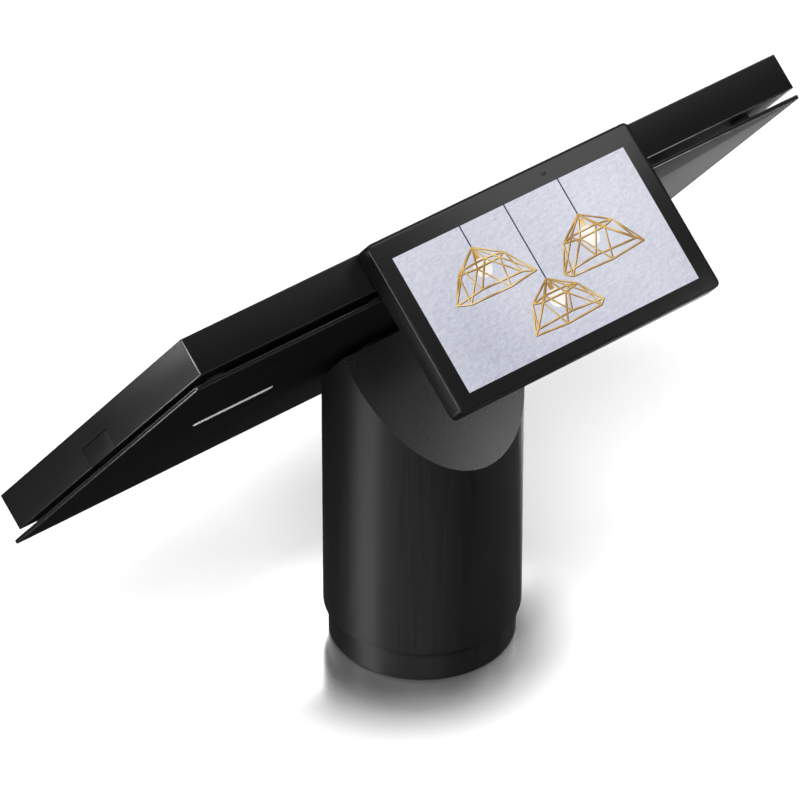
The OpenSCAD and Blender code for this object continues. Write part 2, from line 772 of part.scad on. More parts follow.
module badge() color(ZINC) at_head() badge_outline([z_outer - 0.2, z_outer + badge_t - 0.2], 0);

module panel_spacers()
    color(SOFT_BLACK) at_head() panel_screw_places() difference() {
        rod_z(0, 0, [z_gap, z_rear], 4.5);
        rod_z(0, 0, [z_gap - through, z_rear + through], 1.4);
    }

module panel_screws()
    color(ZINC) at_head() panel_screw_places() {
        rod_z(0, 0, [z_back, z_back + 1.5], 2.6);
        rod_z(0, 0, [z_outer + 0.8, z_back + 0.5], 1.2);
    }

// ---- Power key ---------------------------------------------------------------------------

module power_key()
    color(BLACK) at_head() {
        span([-half_w, key_inner_x], [key_y, key_y + key_l], [z_rear, -key_set]);
        span([-half_w + key_wall + 0.3, key_inner_x], [key_y - flange_over, key_y + key_l + flange_over],
            [z_back + 0.3, -key_set + 0.9]);
    }

module key_plunger()
    color(SOFT_BLACK) at_head()
        rod_x([key_inner_x, switch_x + 1.8], plunger_y, plunger_z, 1.5);

module power_switch()
    color(SOFT_BLACK) at_head() difference() {
        span([switch_x, switch_x + 4.2], [plunger_y - 3.3, plunger_y + 3.3], [plunger_z - 2.6, z_plate]);
        rod_x([switch_x - through, switch_x + 1.8 + key_travel + 0.3], plunger_y, plunger_z, 1.6);
    }

// ---- Hinge of the customer display ---------------------------------------------------------

module bracket_screw_places()
    for (x = [-12, 12], y = [16, 50]) translate([x, y, 0]) children();

// A plate clamped in the air gap, turned outwards over the panel's upper edge to one knuckle
module hinge_bracket()
    color(STEEL) at_head() difference() {
        union() {
            span([-knuckle_half, knuckle_half], [web_y, bracket_l], [z_rear - bracket_t, z_rear]);
            span([-knuckle_half, knuckle_half], [web_y, web_y + 2.3], [hinge_z, z_rear]);
            rod_x([-knuckle_half, knuckle_half], hinge_y, hinge_z, knuckle_r);
        }
        rod_x([-knuckle_half - through, knuckle_half + through], hinge_y, hinge_z, hinge_pin_r);
        bracket_screw_places() {
            rod_z(0, 0, [z_rear - bracket_t - through, z_rear + through], 1.5);
            rod_z(0, 0, [z_rear - bracket_t - through, z_rear - bracket_t + 1.4], 2.7);
        }
    }

module bracket_screws()
    color(ZINC) at_head() bracket_screw_places() {
        rod_z(0, 0, [z_rear - bracket_t + 0.1, z_rear - bracket_t + 1.4], 2.6);
        rod_z(0, 0, [z_rear - bracket_t + 1, z_back + 1.6], 1.45);
    }

module hinge_pin()
    color(STEEL) at_head() difference() {
        rod_x([-barrel_out - 0.2, barrel_out + 0.2], hinge_y, hinge_z, hinge_pin_r);
        rod_x([-barrel_out - through, barrel_out + through], hinge_y, hinge_z, cable_r + 0.1);
    }

// Cable from the mainboard, along the air gap, over the panel's edge and through the hinge pin
module display_cable()
    color(SOFT_BLACK) at_head() run([
        [cable_x, cable_y, z_board_top], [cable_x, cable_y, z_rear - 1.3], [cable_x, cable_turn_y, z_rear - 1.3],
        [cable_x, cable_turn_y, hinge_z + 3], [cable_x, hinge_y, hinge_z], [barrel_out + 0.3, hinge_y, hinge_z]
    ], cable_r);

// ---- Customer display ------------------------------------------------------------------------

// Slab of the customer display's outline between two depths, shrunk on every side
module display_slab(y, shrink, r)
    translate([0, y[1], 0]) rotate([90, 0, 0]) linear_extrude(y[1] - y[0])
        round_rect([cfd_x[0] + shrink, cfd_x[1] - shrink], [cfd_z[0] + shrink, cfd_z[1] - shrink], r);

module leaf_screw_places()
    for (x = [-leaf_screw_x, leaf_screw_x], z = leaf_screw_z) translate([x, 0, z]) children();

module board_post_places()
    for (x = [-30, 30], z = [cfd_mid - 26, cfd_mid - 14]) translate([x, 0, z]) children();

module display_shell()
    color(BLACK) at_head() difference() {
        union() {
            difference() {
                display_slab([cfd_front, cfd_back], 0, cfd_r);
                display_slab([cfd_front - through, cfd_front + cfd_glass_t], cfd_rim, cfd_r - cfd_rim);
                display_slab([cfd_front - through, cfd_back - cfd_back_wall], cfd_wall, 1);
            }
            leaf_screw_places() rod_y(0, [cfd_back - 3.9, cfd_back - cfd_back_wall + eps], 0, 2.4);
            board_post_places() rod_y(0, [cfd_back - 3.3, cfd_back - cfd_back_wall + eps], 0, 2.2);
        }
        leaf_screw_places() rod_y(0, [cfd_back - 3.5, cfd_back + through], 0, 1);
        rod_y(lead_x, [cfd_back - cfd_back_wall - through, cfd_back + through], hinge_z, cable_r + 0.1);
    }

module display_glass()
    color(DARK_GLASS) at_head()
        display_slab([cfd_front, cfd_front + cfd_glass_t], cfd_rim + 0.08, cfd_r - cfd_rim - 0.08);

module display_lcd()
    color(SOFT_BLACK) at_head()
        span([-cfd_picture_w / 2 - 2.6, cfd_picture_w / 2 + 2.6],
            [cfd_front + cfd_glass_t, cfd_front + cfd_glass_t + cfd_lcd_t],
            [cfd_mid - cfd_picture_h / 2 - 3.2, cfd_mid + cfd_picture_h / 2 + 1.6]);

module display_board()
    color(BOARD_GREEN) at_head() {
        span([-40, 40], [cfd_back - 4.4, cfd_back - 3.3], [cfd_mid - 30, cfd_mid - 10]);
        span([-10, 4], [cfd_back - 5.2, cfd_back - 4.4], [cfd_mid - 27, cfd_mid - 14]);
    }

module display_sensor()
    color(SOFT_BLACK) at_head()
        span([sensor_x - 3, sensor_x + 3], [cfd_front + cfd_glass_t, cfd_front + cfd_glass_t + 3.2],
            [-cfd_wall - 5.6, -cfd_wall - 0.2]);

module hinge_leaf()
    color(STEEL) at_head() difference() {
        union() {
            span([-barrel_out, barrel_out], [cfd_back, cfd_back + leaf_t], [leaf_z - leaf_len, leaf_z]);
            for (x = [[-barrel_out, -barrel_in], [barrel_in, barrel_out]]) {
                rod_x(x, hinge_y, hinge_z, knuckle_r);
                span(x, [cfd_back, hinge_y], [hinge_z - knuckle_r, hinge_z - knuckle_r + 2.6]);
            }
        }
        for (x = [[-barrel_out - through, -barrel_in + through], [barrel_in - through, barrel_out + through]])
            rod_x(x, hinge_y, hinge_z, hinge_pin_r + hinge_fit);
        leaf_screw_places() {
            rod_y(0, [cfd_back - through, cfd_back + leaf_t + through], 0, 1.1);
            rod_y(0, [cfd_back + 0.5, cfd_back + leaf_t + through], 0, 2.1);
        }
    }

module leaf_screws()
    color(ZINC) at_head() leaf_screw_places() {
        rod_y(0, [cfd_back + 0.5, cfd_back + leaf_t - 0.1], 0, 2);
        rod_y(0, [cfd_back - 3.2, cfd_back + 0.6], 0, 0.95);
    }

module display_lead()
    color(SOFT_BLACK) at_head() run([
        [barrel_out + 0.7, hinge_y, hinge_z], [lead_x, hinge_y, hinge_z], [lead_x, cfd_back - 3, hinge_z]
    ], cable_r);

// ---- Assembly ----------------------------------------------------------------------------------

foot_pad();
base_ring();
ballast_plate();
swivel_spindle();
spindle_screws();
thrust_washer();
stop_pin();
retaining_washer();
spindle_nut();
swivel_flange();
flange_screws();
column_shell();
column_chassis();
port_panel();
io_board();
lan_port();
usb_ports();
power_inlet();
column_harness();
neck_block();
neck_screws();
head_shell();
cover_glass();
lcd_panel();
head_chassis();
mainboard();
board_screws();
heat_spreader();
thermal_pad();
speakers();
wifi_antennas();
power_switch();
head_back();
back_screws();
rear_panel();
panel_spacers();
panel_screws();
badge();
power_key();
key_plunger();
hinge_bracket();
bracket_screws();
hinge_pin();
display_cable();
display_shell();
display_glass();
display_lcd();
display_board();
display_sensor();
hinge_leaf();
leaf_screws();
display_lead();
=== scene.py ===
import json
import math

import bmesh
import bpy
import numpy as np
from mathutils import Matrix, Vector


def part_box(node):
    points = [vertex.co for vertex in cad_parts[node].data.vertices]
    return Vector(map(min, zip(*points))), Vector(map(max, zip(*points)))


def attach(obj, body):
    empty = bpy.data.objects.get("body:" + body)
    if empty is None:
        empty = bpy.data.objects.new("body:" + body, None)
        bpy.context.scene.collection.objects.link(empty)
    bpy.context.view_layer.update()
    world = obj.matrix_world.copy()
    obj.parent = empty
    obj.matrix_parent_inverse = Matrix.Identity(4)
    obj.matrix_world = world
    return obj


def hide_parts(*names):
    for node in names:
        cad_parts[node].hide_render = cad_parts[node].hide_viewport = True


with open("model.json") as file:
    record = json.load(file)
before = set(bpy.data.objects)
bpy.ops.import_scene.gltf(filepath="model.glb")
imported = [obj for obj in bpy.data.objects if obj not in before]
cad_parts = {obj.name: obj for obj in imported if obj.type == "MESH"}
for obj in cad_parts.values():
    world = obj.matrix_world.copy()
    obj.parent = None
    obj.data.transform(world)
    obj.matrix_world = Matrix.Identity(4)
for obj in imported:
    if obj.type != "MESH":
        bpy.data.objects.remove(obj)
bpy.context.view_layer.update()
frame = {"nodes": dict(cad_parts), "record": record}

# ---- Camera --------------------------------------------------------------------------------
# A long lens from the customer's side, to the left of the column and above it. The horizon is
# level and the object fills the frame from edge to edge.
CAMERA_AZIMUTH = math.radians(-40.53)
CAMERA_ELEVATION = math.radians(35.65)
CAMERA_DISTANCE = 3.010
CAMERA_LENS = 298.5
CAMERA_AIM = Vector((0.0307, 0.0515, 0.0824))

camera_back = Vector((
    math.sin(CAMERA_AZIMUTH) * math.cos(CAMERA_ELEVATION),
    -math.cos(CAMERA_AZIMUTH) * math.cos(CAMERA_ELEVATION),
    math.sin(CAMERA_ELEVATION),
))
camera = bpy.data.objects.new("camera", bpy.data.cameras.new("camera"))
camera.data.lens = CAMERA_LENS
camera.data.clip_start = 0.1
camera.data.clip_end = 50
camera.location = CAMERA_AIM + camera_back * CAMERA_DISTANCE
camera.rotation_mode = "QUATERNION"
camera.rotation_quaternion = (-camera_back).to_track_quat("-Z", "Y")
bpy.context.scene.collection.objects.link(camera)
bpy.context.scene.camera = camera


# ---- Head shell ----------------------------------------------------------------------------
# The head's outer frame: one moulded ring with flat walls and softly broken edges, a rim for the
# glass in front and one for the back cover behind. The key's window and the speaker slots are
# cut into it.
HEAD_BODY = "column_and_head"
MM = 0.001


class Value:
    """A number that varies over a surface: the operators on it add Math nodes."""

    def __init__(self, finish, socket):
        self.finish, self.socket = finish, socket

    def math(self, operation, a, b=0.0):
        return self.finish.node("ShaderNodeMath", {"operation": operation}, {0: a, 1: b})

    def __add__(self, other):
        return self.math("ADD", self, other)

    __radd__ = __add__

    def __sub__(self, other):
        return self.math("SUBTRACT", self, other)

    def __rsub__(self, other):
        return self.math("SUBTRACT", other, self)

    def __mul__(self, other):
        return self.math("MULTIPLY", self, other)

    __rmul__ = __mul__


class Finish:
    """A finish in the making, one Principled surface. Constants go straight to its sockets."""

    def __init__(self, name, **constants):
        self.material = bpy.data.materials.new(name)
        self.material.use_nodes = True
        self.tree = self.material.node_tree
        self.surface = self.tree.nodes["Principled BSDF"]
        for key, value in constants.items():
            socket = self.surface.inputs[key.replace("_", " ")]
            socket.default_value = (*value, 1.0) if socket.type == "RGBA" else value

    def node(self, kind, settings=None, inputs=None, output=0):
        """Adds any node: first its settings, then the values or links of its sockets."""
        made = self.tree.nodes.new(kind)
        for key, value in (settings or {}).items():
            if key == "stops":
                self.set_stops(made.color_ramp, value)
            else:
                setattr(made, key, value)
        for key, value in (inputs or {}).items():
            self.feed(made.inputs[key], value)
        return Value(self, made.outputs[output])

    def set_stops(self, ramp, stops):
        while len(ramp.elements) < len(stops):
            ramp.elements.new(1.0)
        for element, (place, colour) in zip(ramp.elements, stops):
            element.position = place
            element.color = (*colour, 1.0)

    def feed(self, socket, value):
        if isinstance(value, Value):
            self.tree.links.new(value.socket, socket)
        elif socket.type == "RGBA":
            socket.default_value = (*value, 1.0)
        else:
            socket.default_value = value

    def set(self, name, value):
        self.feed(self.surface.inputs[name], value)
        return self

    def place(self, scale=(1, 1, 1), shift=(0, 0, 0)):
        """Object coordinates in metres, scaled and shifted."""
        raw = self.node("ShaderNodeTexCoord", output="Object")
        return self.node("ShaderNodeMapping", inputs={
            "Vector": raw, "Location": shift, "Scale": scale})

    def noise(self, scale, detail=2.0, stretch=(1, 1, 1), roughness=0.5, shift=(0, 0, 0)):
        """Cloudy noise from 0 to 1, about 0.5, with scale features to a metre."""
        return self.node("ShaderNodeTexNoise", inputs={
            "Vector": self.place(stretch, shift), "Scale": scale, "Detail": detail,
            "Roughness": roughness})

    def mix(self, share, a, b):
        """Colour a where share is 0 and b where it is 1."""
        return self.node("ShaderNodeMix", {"data_type": "RGBA"}, {"Factor": share, 6: a, 7: b}, 2)

    def bump(self, height, depth, strength=1.0):
        """Raises the surface by height times depth metres."""
        self.set("Normal", self.node("ShaderNodeBump", inputs={
            "Height": height, "Distance": depth, "Strength": strength}))
        return self


def satin_black(name, tone, rough, specular, grain=2600, tint=(1.0, 1.0, 1.04)):
    """Fine-textured black: a pebbled skin of about half a millimetre, faint clouds of handling."""
    dark = tuple(tone * t for t in tint)
    finish = Finish(name, Specular_IOR_Level=specular)
    clouds = finish.noise(22, 3.0)
    pebble = finish.noise(grain, 2.0)
    finish.set("Base Color", finish.mix(clouds, dark, tuple(1.35 * c for c in dark)))
    finish.set("Roughness", rough + 0.10 * (clouds - 0.5) + 0.05 * (pebble - 0.5))
    return finish.bump(pebble, 0.00002, 0.25)


def points_of(node):
    """Every corner of a CAD node's mesh, one row each."""
    mesh = frame["nodes"][node].data
    flat = np.empty(len(mesh.vertices) * 3, np.float32)
    mesh.vertices.foreach_get("co", flat)
    return flat.reshape(-1, 3).astype(float)


# The head leans back. Its own directions come from the cover glass: across, down the screen and
# out of it, from the middle of the glass's upper edge.
glass_points = points_of("cover_glass")
glass_top = glass_points[glass_points[:, 2].argmax()]
glass_foot = glass_points[glass_points[:, 1].argmax()]
DOWN = np.array([0, glass_foot[1] - glass_top[1], glass_foot[2] - glass_top[2]])
DOWN /= np.linalg.norm(DOWN)
HEAD_AXES = np.array([[1.0, 0, 0], DOWN, np.cross([1.0, 0, 0], DOWN)])
HEAD_ORIGIN = np.array([0, glass_top[1], glass_top[2]])


def in_head(points):
    """From the head's directions to the object's."""
    return HEAD_ORIGIN + np.asarray(points) @ HEAD_AXES


def head_box(node):
    """Lowest and highest corner of a node, measured along the head's own directions."""
    local = (points_of(node) - HEAD_ORIGIN) @ HEAD_AXES.T
    return local.min(0), local.max(0)


def quads(rows, columns, wrap_rows, wrap_columns):
    """Faces of a grid of points: each joins a point to the next in its row and its column."""
    r = np.arange(rows if wrap_rows else rows - 1)[:, None]
    c = np.arange(columns if wrap_columns else columns - 1)[None, :]
    r2, c2 = (r + 1) % rows, (c + 1) % columns
    return np.stack(np.broadcast_arrays(
        r * columns + c, r * columns + c2, r2 * columns + c2, r2 * columns + c), -1).reshape(-1, 4)


def rounded_rectangle(half_w, half_h, radius, steps=6):
    """Outline of a rectangle with quarter-circle corners, anticlockwise: the corner's centre plus
    the radius at angles that run on by a quarter turn from corner to corner."""
    angle = np.linspace(0, math.pi / 2, steps)
    sign = np.array([[1, 1], [-1, 1], [-1, -1], [1, -1]], float)
    centre = sign * [half_w - radius, half_h - radius]
    turn = angle[None, :] + np.arange(4)[:, None] * math.pi / 2
    return np.stack([
        centre[:, :1] + radius * np.cos(turn),
        centre[:, 1:] + radius * np.sin(turn)], -1).reshape(-1, 2)


def corner_arc(a, b, radius, start, steps=4):
    """A quarter circle about (a, b) from angle start, in degrees: the rounding of an edge."""
    angle = np.radians(start) + np.linspace(0, math.pi / 2, steps)
    return np.stack([a + radius * np.cos(angle), b + radius * np.sin(angle)], 1)


LEAST_CORNER = 0.12 * MM


def carried_round(profile, half_w, half_h, radius, steps=6):
    """A profile of (inset, depth) pairs carried round a rounded rectangle: each pair makes the
    outline shrunk by its inset, at its depth."""
    rings = []
    for inset, depth in profile:
        outline = rounded_rectangle(
            half_w - inset, half_h - inset, max(radius - inset, LEAST_CORNER), steps)
        rings.append(np.column_stack([outline, np.full(len(outline), depth)]))
    return np.array(rings)


def build(name, points, faces, material, body, stands_for=(), slot=None, smooth=30):
    """A finished piece from its points and faces, smooth but for edges sharper than an angle."""
    mesh = bpy.data.meshes.new(name)
    mesh.from_pydata(np.asarray(points).tolist(), [], [list(map(int, f)) for f in faces])
    mesh.validate()
    mesh.materials.append(material)
    piece = bpy.data.objects.new(name, mesh)
    bpy.context.scene.collection.objects.link(piece)
    finish_faces(mesh, smooth)
    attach(piece, body)
    if stands_for:
        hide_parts(*stands_for)
    return piece


def finish_faces(mesh, smooth):
    """Turns every face outwards and shades it smooth up to the given angle."""
    work = bmesh.new()
    work.from_mesh(mesh)
    bmesh.ops.remove_doubles(work, verts=work.verts, dist=1e-7)
    bmesh.ops.recalc_face_normals(work, faces=work.faces)
    work.to_mesh(mesh)
    work.free()
    mesh.polygons.foreach_set("use_smooth", np.ones(len(mesh.polygons), bool))
    mesh.set_sharp_from_angle(angle=math.radians(smooth))
    mesh.update()


def centred(low, high):
    """Middle and half sizes of a box across and down the screen."""
    return (low[:2] + high[:2]) / 2, (high[:2] - low[:2]) / 2


SHELL_EDGE = 0.5 * MM
SHELL_CORNER = 0.8 * MM

moulded_black = satin_black("moulded_black", 0.0030, 0.36, 0.13)

shell_low, shell_high = head_box("head_shell")
glass_low, glass_high = head_box("cover_glass")
back_low, back_high = head_box("head_back")
shell_mid, shell_half = centred(shell_low, shell_high)
rim = glass_low[0] - shell_low[0]
wall = 4.0 * MM


def cut(piece, points, faces):
    """Takes a closed shape out of a piece."""
    mesh = bpy.data.meshes.new("cutter")
    mesh.from_pydata(points.tolist(), [], [list(map(int, f)) for f in faces])
    finish_faces(mesh, 30)
    cutter = bpy.data.objects.new("cutter", mesh)
    bpy.context.scene.collection.objects.link(cutter)
    taken = piece.modifiers.new("cut", "BOOLEAN")
    taken.operation, taken.solver, taken.object = "DIFFERENCE", "EXACT", cutter
    bpy.context.view_layer.update()
    shaped = bpy.data.meshes.new_from_object(
        piece.evaluated_get(bpy.context.evaluated_depsgraph_get()))
    piece.modifiers.clear()
    piece.data = shaped
    bpy.data.objects.remove(cutter)
    shaped.set_sharp_from_angle(angle=math.radians(30))


def cut_boxes(piece, boxes, carry=in_head):
    """Takes boxes, each a low and a high corner, out of a piece. They are in the head's
    directions unless carry says otherwise."""
    corner = np.array([[x, y, z] for x in (0, 1) for y in (0, 1) for z in (0, 1)], float)
    side = np.array([
        [0, 1, 3, 2], [4, 6, 7, 5], [0, 4, 5, 1], [2, 3, 7, 6], [0, 2, 6, 4], [1, 5, 7, 3]])
    lows, highs = np.array([b[0] for b in boxes]), np.array([b[1] for b in boxes])
    points = lows[:, None] + corner[None] * (highs - lows)[:, None]
    faces = side[None] + 8 * np.arange(len(boxes))[:, None, None]
    cut(piece, carry(points.reshape(-1, 3)), faces.reshape(-1, 4))


MAIN_FACE = 0.985                     # share of a main direction in a main face's own


def polish_and_highlight_edges(piece, finish, least=0.0):
    """Gives a second, shinier finish with a painted highlight to the narrow faces between a piece's
    main faces: those that look along none of the head's directions, and lean out of the screen's
    plane by at least a share."""
    mesh = piece.data
    mesh.materials.append(finish.material)
    normals = np.array([f.normal for f in mesh.polygons]) @ HEAD_AXES.T
    edge = (np.abs(normals).max(1) < MAIN_FACE) & (np.abs(normals[:, 1]) >= least)
    mesh.polygons.foreach_set("material_index", edge.astype(np.int32))
    mesh.update()


def edge_polish_and_highlight(name, specular):
    """The same black where hands and cloths have polished an edge, patchily, and coloured lighter
    there as a painted highlight along the edge.
    """
    finish = Finish(name, Specular_IOR_Level=specular)
    polish_and_highlight_patches = finish.noise(300, 3.0)
    # Painted highlight: the edge is coloured lighter than the faces beside it, in patches.
    finish.set("Base Color", finish.mix(polish_and_highlight_patches, (0.004, 0.004, 0.004), (0.016, 0.016, 0.016)))
    return finish.set("Roughness", 0.20 + 0.10 * polish_and_highlight_patches)


# The head's and the panel's edges: shinier, with a painted highlight.
head_edge_polish_and_highlight = edge_polish_and_highlight("head_edge_polish_and_highlight", 0.8)

shell_front, shell_rear = shell_high[2], shell_low[2]
shell_profile = np.vstack([
    corner_arc(SHELL_EDGE, shell_front - SHELL_EDGE, SHELL_EDGE, 90),
    corner_arc(SHELL_EDGE, shell_rear + SHELL_EDGE, SHELL_EDGE, 180),
    [[rim, shell_rear], [rim, back_high[2]], [wall, back_high[2]], [wall, glass_low[2]],
     [rim, glass_low[2]], [rim, shell_front]],
])
shell_rings = carried_round(shell_profile, *shell_half, SHELL_CORNER) + [*shell_mid, 0]
head_shell = build(
    "head_shell_moulding", in_head(shell_rings.reshape(-1, 3)),
    quads(*shell_rings.shape[:2], True, True), moulded_black.material, HEAD_BODY,
    ["head_shell"], "black_plastic")

key_low, key_high = head_box("power_key")
KEY_GAP = 0.3 * MM
key_reach = 2.2 * MM                  # the retaining flange, longer than the key at each end
slot_w, slot_pitch, slots_a_side = 2.0 * MM, 4.0 * MM, 7
slot_z = np.array([-12.4, -8.4]) * MM  # from the face, the speaker slots' two long edges
SPEAKER_W = 48 * MM
speaker_x = head_box("speakers")[1][0] - SPEAKER_W / 2
openings = [(
    [shell_low[0] - MM, key_low[1] + key_reach - KEY_GAP, shell_rear - MM],
    [shell_low[0] + wall + 0.5 * MM, key_high[1] - key_reach + KEY_GAP, key_high[2] + KEY_GAP],
)]
for side in (-1, 1):
    for i in range(slots_a_side):
        middle = side * speaker_x + (i - slots_a_side // 2) * slot_pitch
        openings.append((
            [middle - slot_w / 2, shell_high[1] - wall - MM, shell_front + slot_z[0]],
            [middle + slot_w / 2, shell_high[1] + MM, shell_front + slot_z[1]]))
cut_boxes(head_shell, openings)
polish_and_highlight_edges(head_shell, head_edge_polish_and_highlight)

# ---- Power key -----------------------------------------------------------------------------
# A flush moulded key in the head's side wall, of the same black as the shell, pressed from
# outside against its switch.
def slab_profile(depth_low, depth_high, edge, steps=4):
    """Half outline of a slab with round edges, from its lower face to its upper one."""
    low = corner_arc(edge, depth_low + edge, edge, 180, steps)[::-1]
    high = corner_arc(edge, depth_high - edge, edge, 90, steps)[::-1]
    return np.vstack([low, high])


def slab(half_w, half_h, radius, depth_low, depth_high, edge, steps=6):
    """A plate with rounded corners and edges, closed by two flat faces."""
    rings = carried_round(slab_profile(depth_low, depth_high, edge), half_w, half_h, radius, steps)
    rows, columns = rings.shape[:2]
    faces = [list(f) for f in quads(rows, columns, False, True)]
    faces.append(list(range(columns))[::-1])
    faces.append(list(range((rows - 1) * columns, rows * columns)))
    return rings.reshape(-1, 3), faces


KEY_CORNER, KEY_EDGE = 0.4 * MM, 0.12 * MM
key_mid, key_half = centred(key_low + [0, key_reach, 0], key_high - [0, key_reach, 0])
key_face, key_faces = slab(
    (key_high[2] - key_low[2]) / 2, key_half[1], KEY_CORNER, 0, key_high[0] - key_low[0],
    KEY_EDGE, 4)
key_points = np.column_stack([
    key_high[0] - key_face[:, 2], key_mid[1] + key_face[:, 1],
    (key_low[2] + key_high[2]) / 2 + key_face[:, 0]])
build("power_key_cap", in_head(key_points), key_faces, moulded_black.material, "power_key",
      ["power_key"], "key_plastic")

# ---- Rear panel ----------------------------------------------------------------------------
# A thin black anodised plate that floats behind the head on spacers, with softly rounded edges
# that catch the light. The neck comes through a hole in it.
PANEL_EDGE = 0.6 * MM
PANEL_CORNER = 0.9 * MM
panel_black = satin_black("panel_black", 0.0028, 0.62, 0.06)
panel_low, panel_high = head_box("rear_panel")
panel_mid, panel_half = centred(panel_low, panel_high)
panel_points, panel_faces = slab(*panel_half, PANEL_CORNER, panel_low[2], panel_high[2], PANEL_EDGE)
rear_panel = build("rear_panel_plate", in_head(panel_points + [*panel_mid, 0]), panel_faces,
                   panel_black.material, HEAD_BODY, ["rear_panel"], "black_anodised")
neck_low, neck_high = head_box("neck_block")
NECK_GAP = 0.3 * MM


def neck_hole(low, high):
    """The box of the hole round the neck block between two depths."""
    return ([neck_low[0] - NECK_GAP, neck_low[1] - NECK_GAP, low],
            [neck_high[0] + NECK_GAP, neck_high[1] + NECK_GAP, high])


cut_boxes(rear_panel, [neck_hole(panel_low[2] - MM, back_high[2])])
polish_and_highlight_edges(rear_panel, head_edge_polish_and_highlight)

# A plain polished bar is let into the panel, with a slightly crowned face.
bright_bar = Finish("bright_bar", Metallic=0.4, Base_Color=(0.86, 0.87, 0.89))
brushing = bright_bar.noise(900, 2.0, (1, 14, 14))
bright_bar.set("Roughness", 0.16 + 0.10 * brushing)
badge_low, badge_high = head_box("badge")
badge_mid, badge_half = centred(badge_low, badge_high)
CROWN_RINGS = 7
CROWN_START, CROWN_DEPTH = 0.15 * MM, 0.35 * MM
crown = np.linspace(0, 1, CROWN_RINGS)
crown_profile = np.vstack([
    [[0, badge_high[2]]],
    np.column_stack([
        badge_half[1] * 0.98 * crown,
        badge_low[2] + CROWN_START - CROWN_DEPTH * np.sqrt(1 - (1 - crown) ** 2)]),
])
crown_rings = carried_round(crown_profile, *badge_half, badge_half[1] * 0.995, 10)
crown_rows, crown_columns = crown_rings.shape[:2]
crown_faces = [list(f) for f in quads(crown_rows, crown_columns, False, True)]
crown_faces += [
    list(range(crown_columns)),
    list(range((crown_rows - 1) * crown_columns, crown_rows * crown_columns))]
build("badge_bar", in_head(crown_rings.reshape(-1, 3) + [*badge_mid, 0]), crown_faces,
      bright_bar.material, HEAD_BODY, ["badge"], "polished_badge", 50)

# ---- Touchscreen ---------------------------------------------------------------------------
# One sheet of black-printed cover glass over the whole face. The picture shows a plain counter
# interface of blank tiles.
black_glass = Finish("black_glass", Base_Color=(0.006, 0.006, 0.007), Specular_IOR_Level=0.45,
                     Coat_Roughness=0.03)
smears = black_glass.noise(14, 4.0)
black_glass.set("Roughness", 0.10 + 0.10 * smears)
glass_mid, glass_half = centred(glass_low, glass_high)
glass_mesh = slab(*glass_half, 0.5 * MM, glass_low[2], glass_high[2], 0.2 * MM)
build("cover_glass_sheet", in_head(glass_mesh[0] + [*glass_mid, 0]), glass_mesh[1],
      black_glass.material, HEAD_BODY, ["cover_glass"], "black_glass")

FILM = 0.03 * MM                      # how far a lit picture stands off its glass
PICTURE_HALF = np.array([309.9, 174.3]) * MM / 2


def lit(name, colour, strength=1.0):
    """A part of a lit picture: a faint cloud of tone over its colour."""
    finish = Finish(name, Base_Color=(0.01, 0.01, 0.01), Roughness=0.3, Specular_IOR_Level=0.2,
                    Emission_Strength=strength)
    cloud = finish.noise(40, 2.0)
    finish.set("Emission Color", finish.mix(
        cloud, tuple(0.96 * c for c in colour), tuple(1.04 * c for c in colour)))
    return finish


def tiles(boxes, z, radius=2.2 * MM):
    """Flat rounded tiles, each given by its middle and half sizes, joined in one mesh."""
    points, faces = [], []
    for x, y, half_w, half_h in boxes:
        tile_points, tile_faces = slab(
            half_w, half_h, min(radius, half_h * 0.9), z, z + FILM, FILM * 0.2, 5)
        first = sum(len(p) for p in points)
        points.append(tile_points + [x, y, 0])
        faces += [[first + i for i in f] for f in tile_faces]
    return np.vstack(points), faces


# Each part has a colour, boxes given by their middles and half sizes, and a level in films.
screen_z = glass_high[2] + 0.2 * FILM
screen_parts = {
    "screen_ground": ((0.40, 0.43, 0.49), [(0, 0, *PICTURE_HALF)], 0),
    "screen_header": ((0.05, 0.07, 0.11), [(0, 81 * MM, 153 * MM, 4 * MM)], 1),
    "screen_basket": ((0.80, 0.82, 0.86), [(-103 * MM, -6 * MM, 48 * MM, 77 * MM)], 1),
    "screen_tiles": ((0.72, 0.76, 0.82), [
        (x * MM, y * MM, 22.5 * MM, 17 * MM) for x in (-26, 23, 72, 121) for y in (54, 16, -22, -60)
        if (x, y) not in ((72, 54), (23, -22), (121, 16))], 1),
    "screen_chosen": ((0.78, 0.52, 0.14), [
        (x * MM, y * MM, 22.5 * MM, 17 * MM) for x, y in ((72, 54), (23, -22), (121, 16))], 1),
    "screen_rows": ((0.55, 0.59, 0.66), [
        ((w - 143) * MM, y * MM, w * MM, 2.2 * MM)
        for y, w in ((60, 37), (48, 27), (36, 40), (24, 31), (12, 35))], 2),
    "screen_pay": ((0.10, 0.36, 0.30), [(-103 * MM, -70 * MM, 42 * MM, 8 * MM)], 2),
}
for part, (colour, boxes, level) in screen_parts.items():
    mirrored = [(-x, -y, w, h) for x, y, w, h in boxes]
    part_points, part_faces = tiles(mirrored, screen_z + level * FILM)
    build(part, in_head(part_points + [*glass_mid, 0]), part_faces,
          lit(part, colour, 0.8).material, HEAD_BODY)

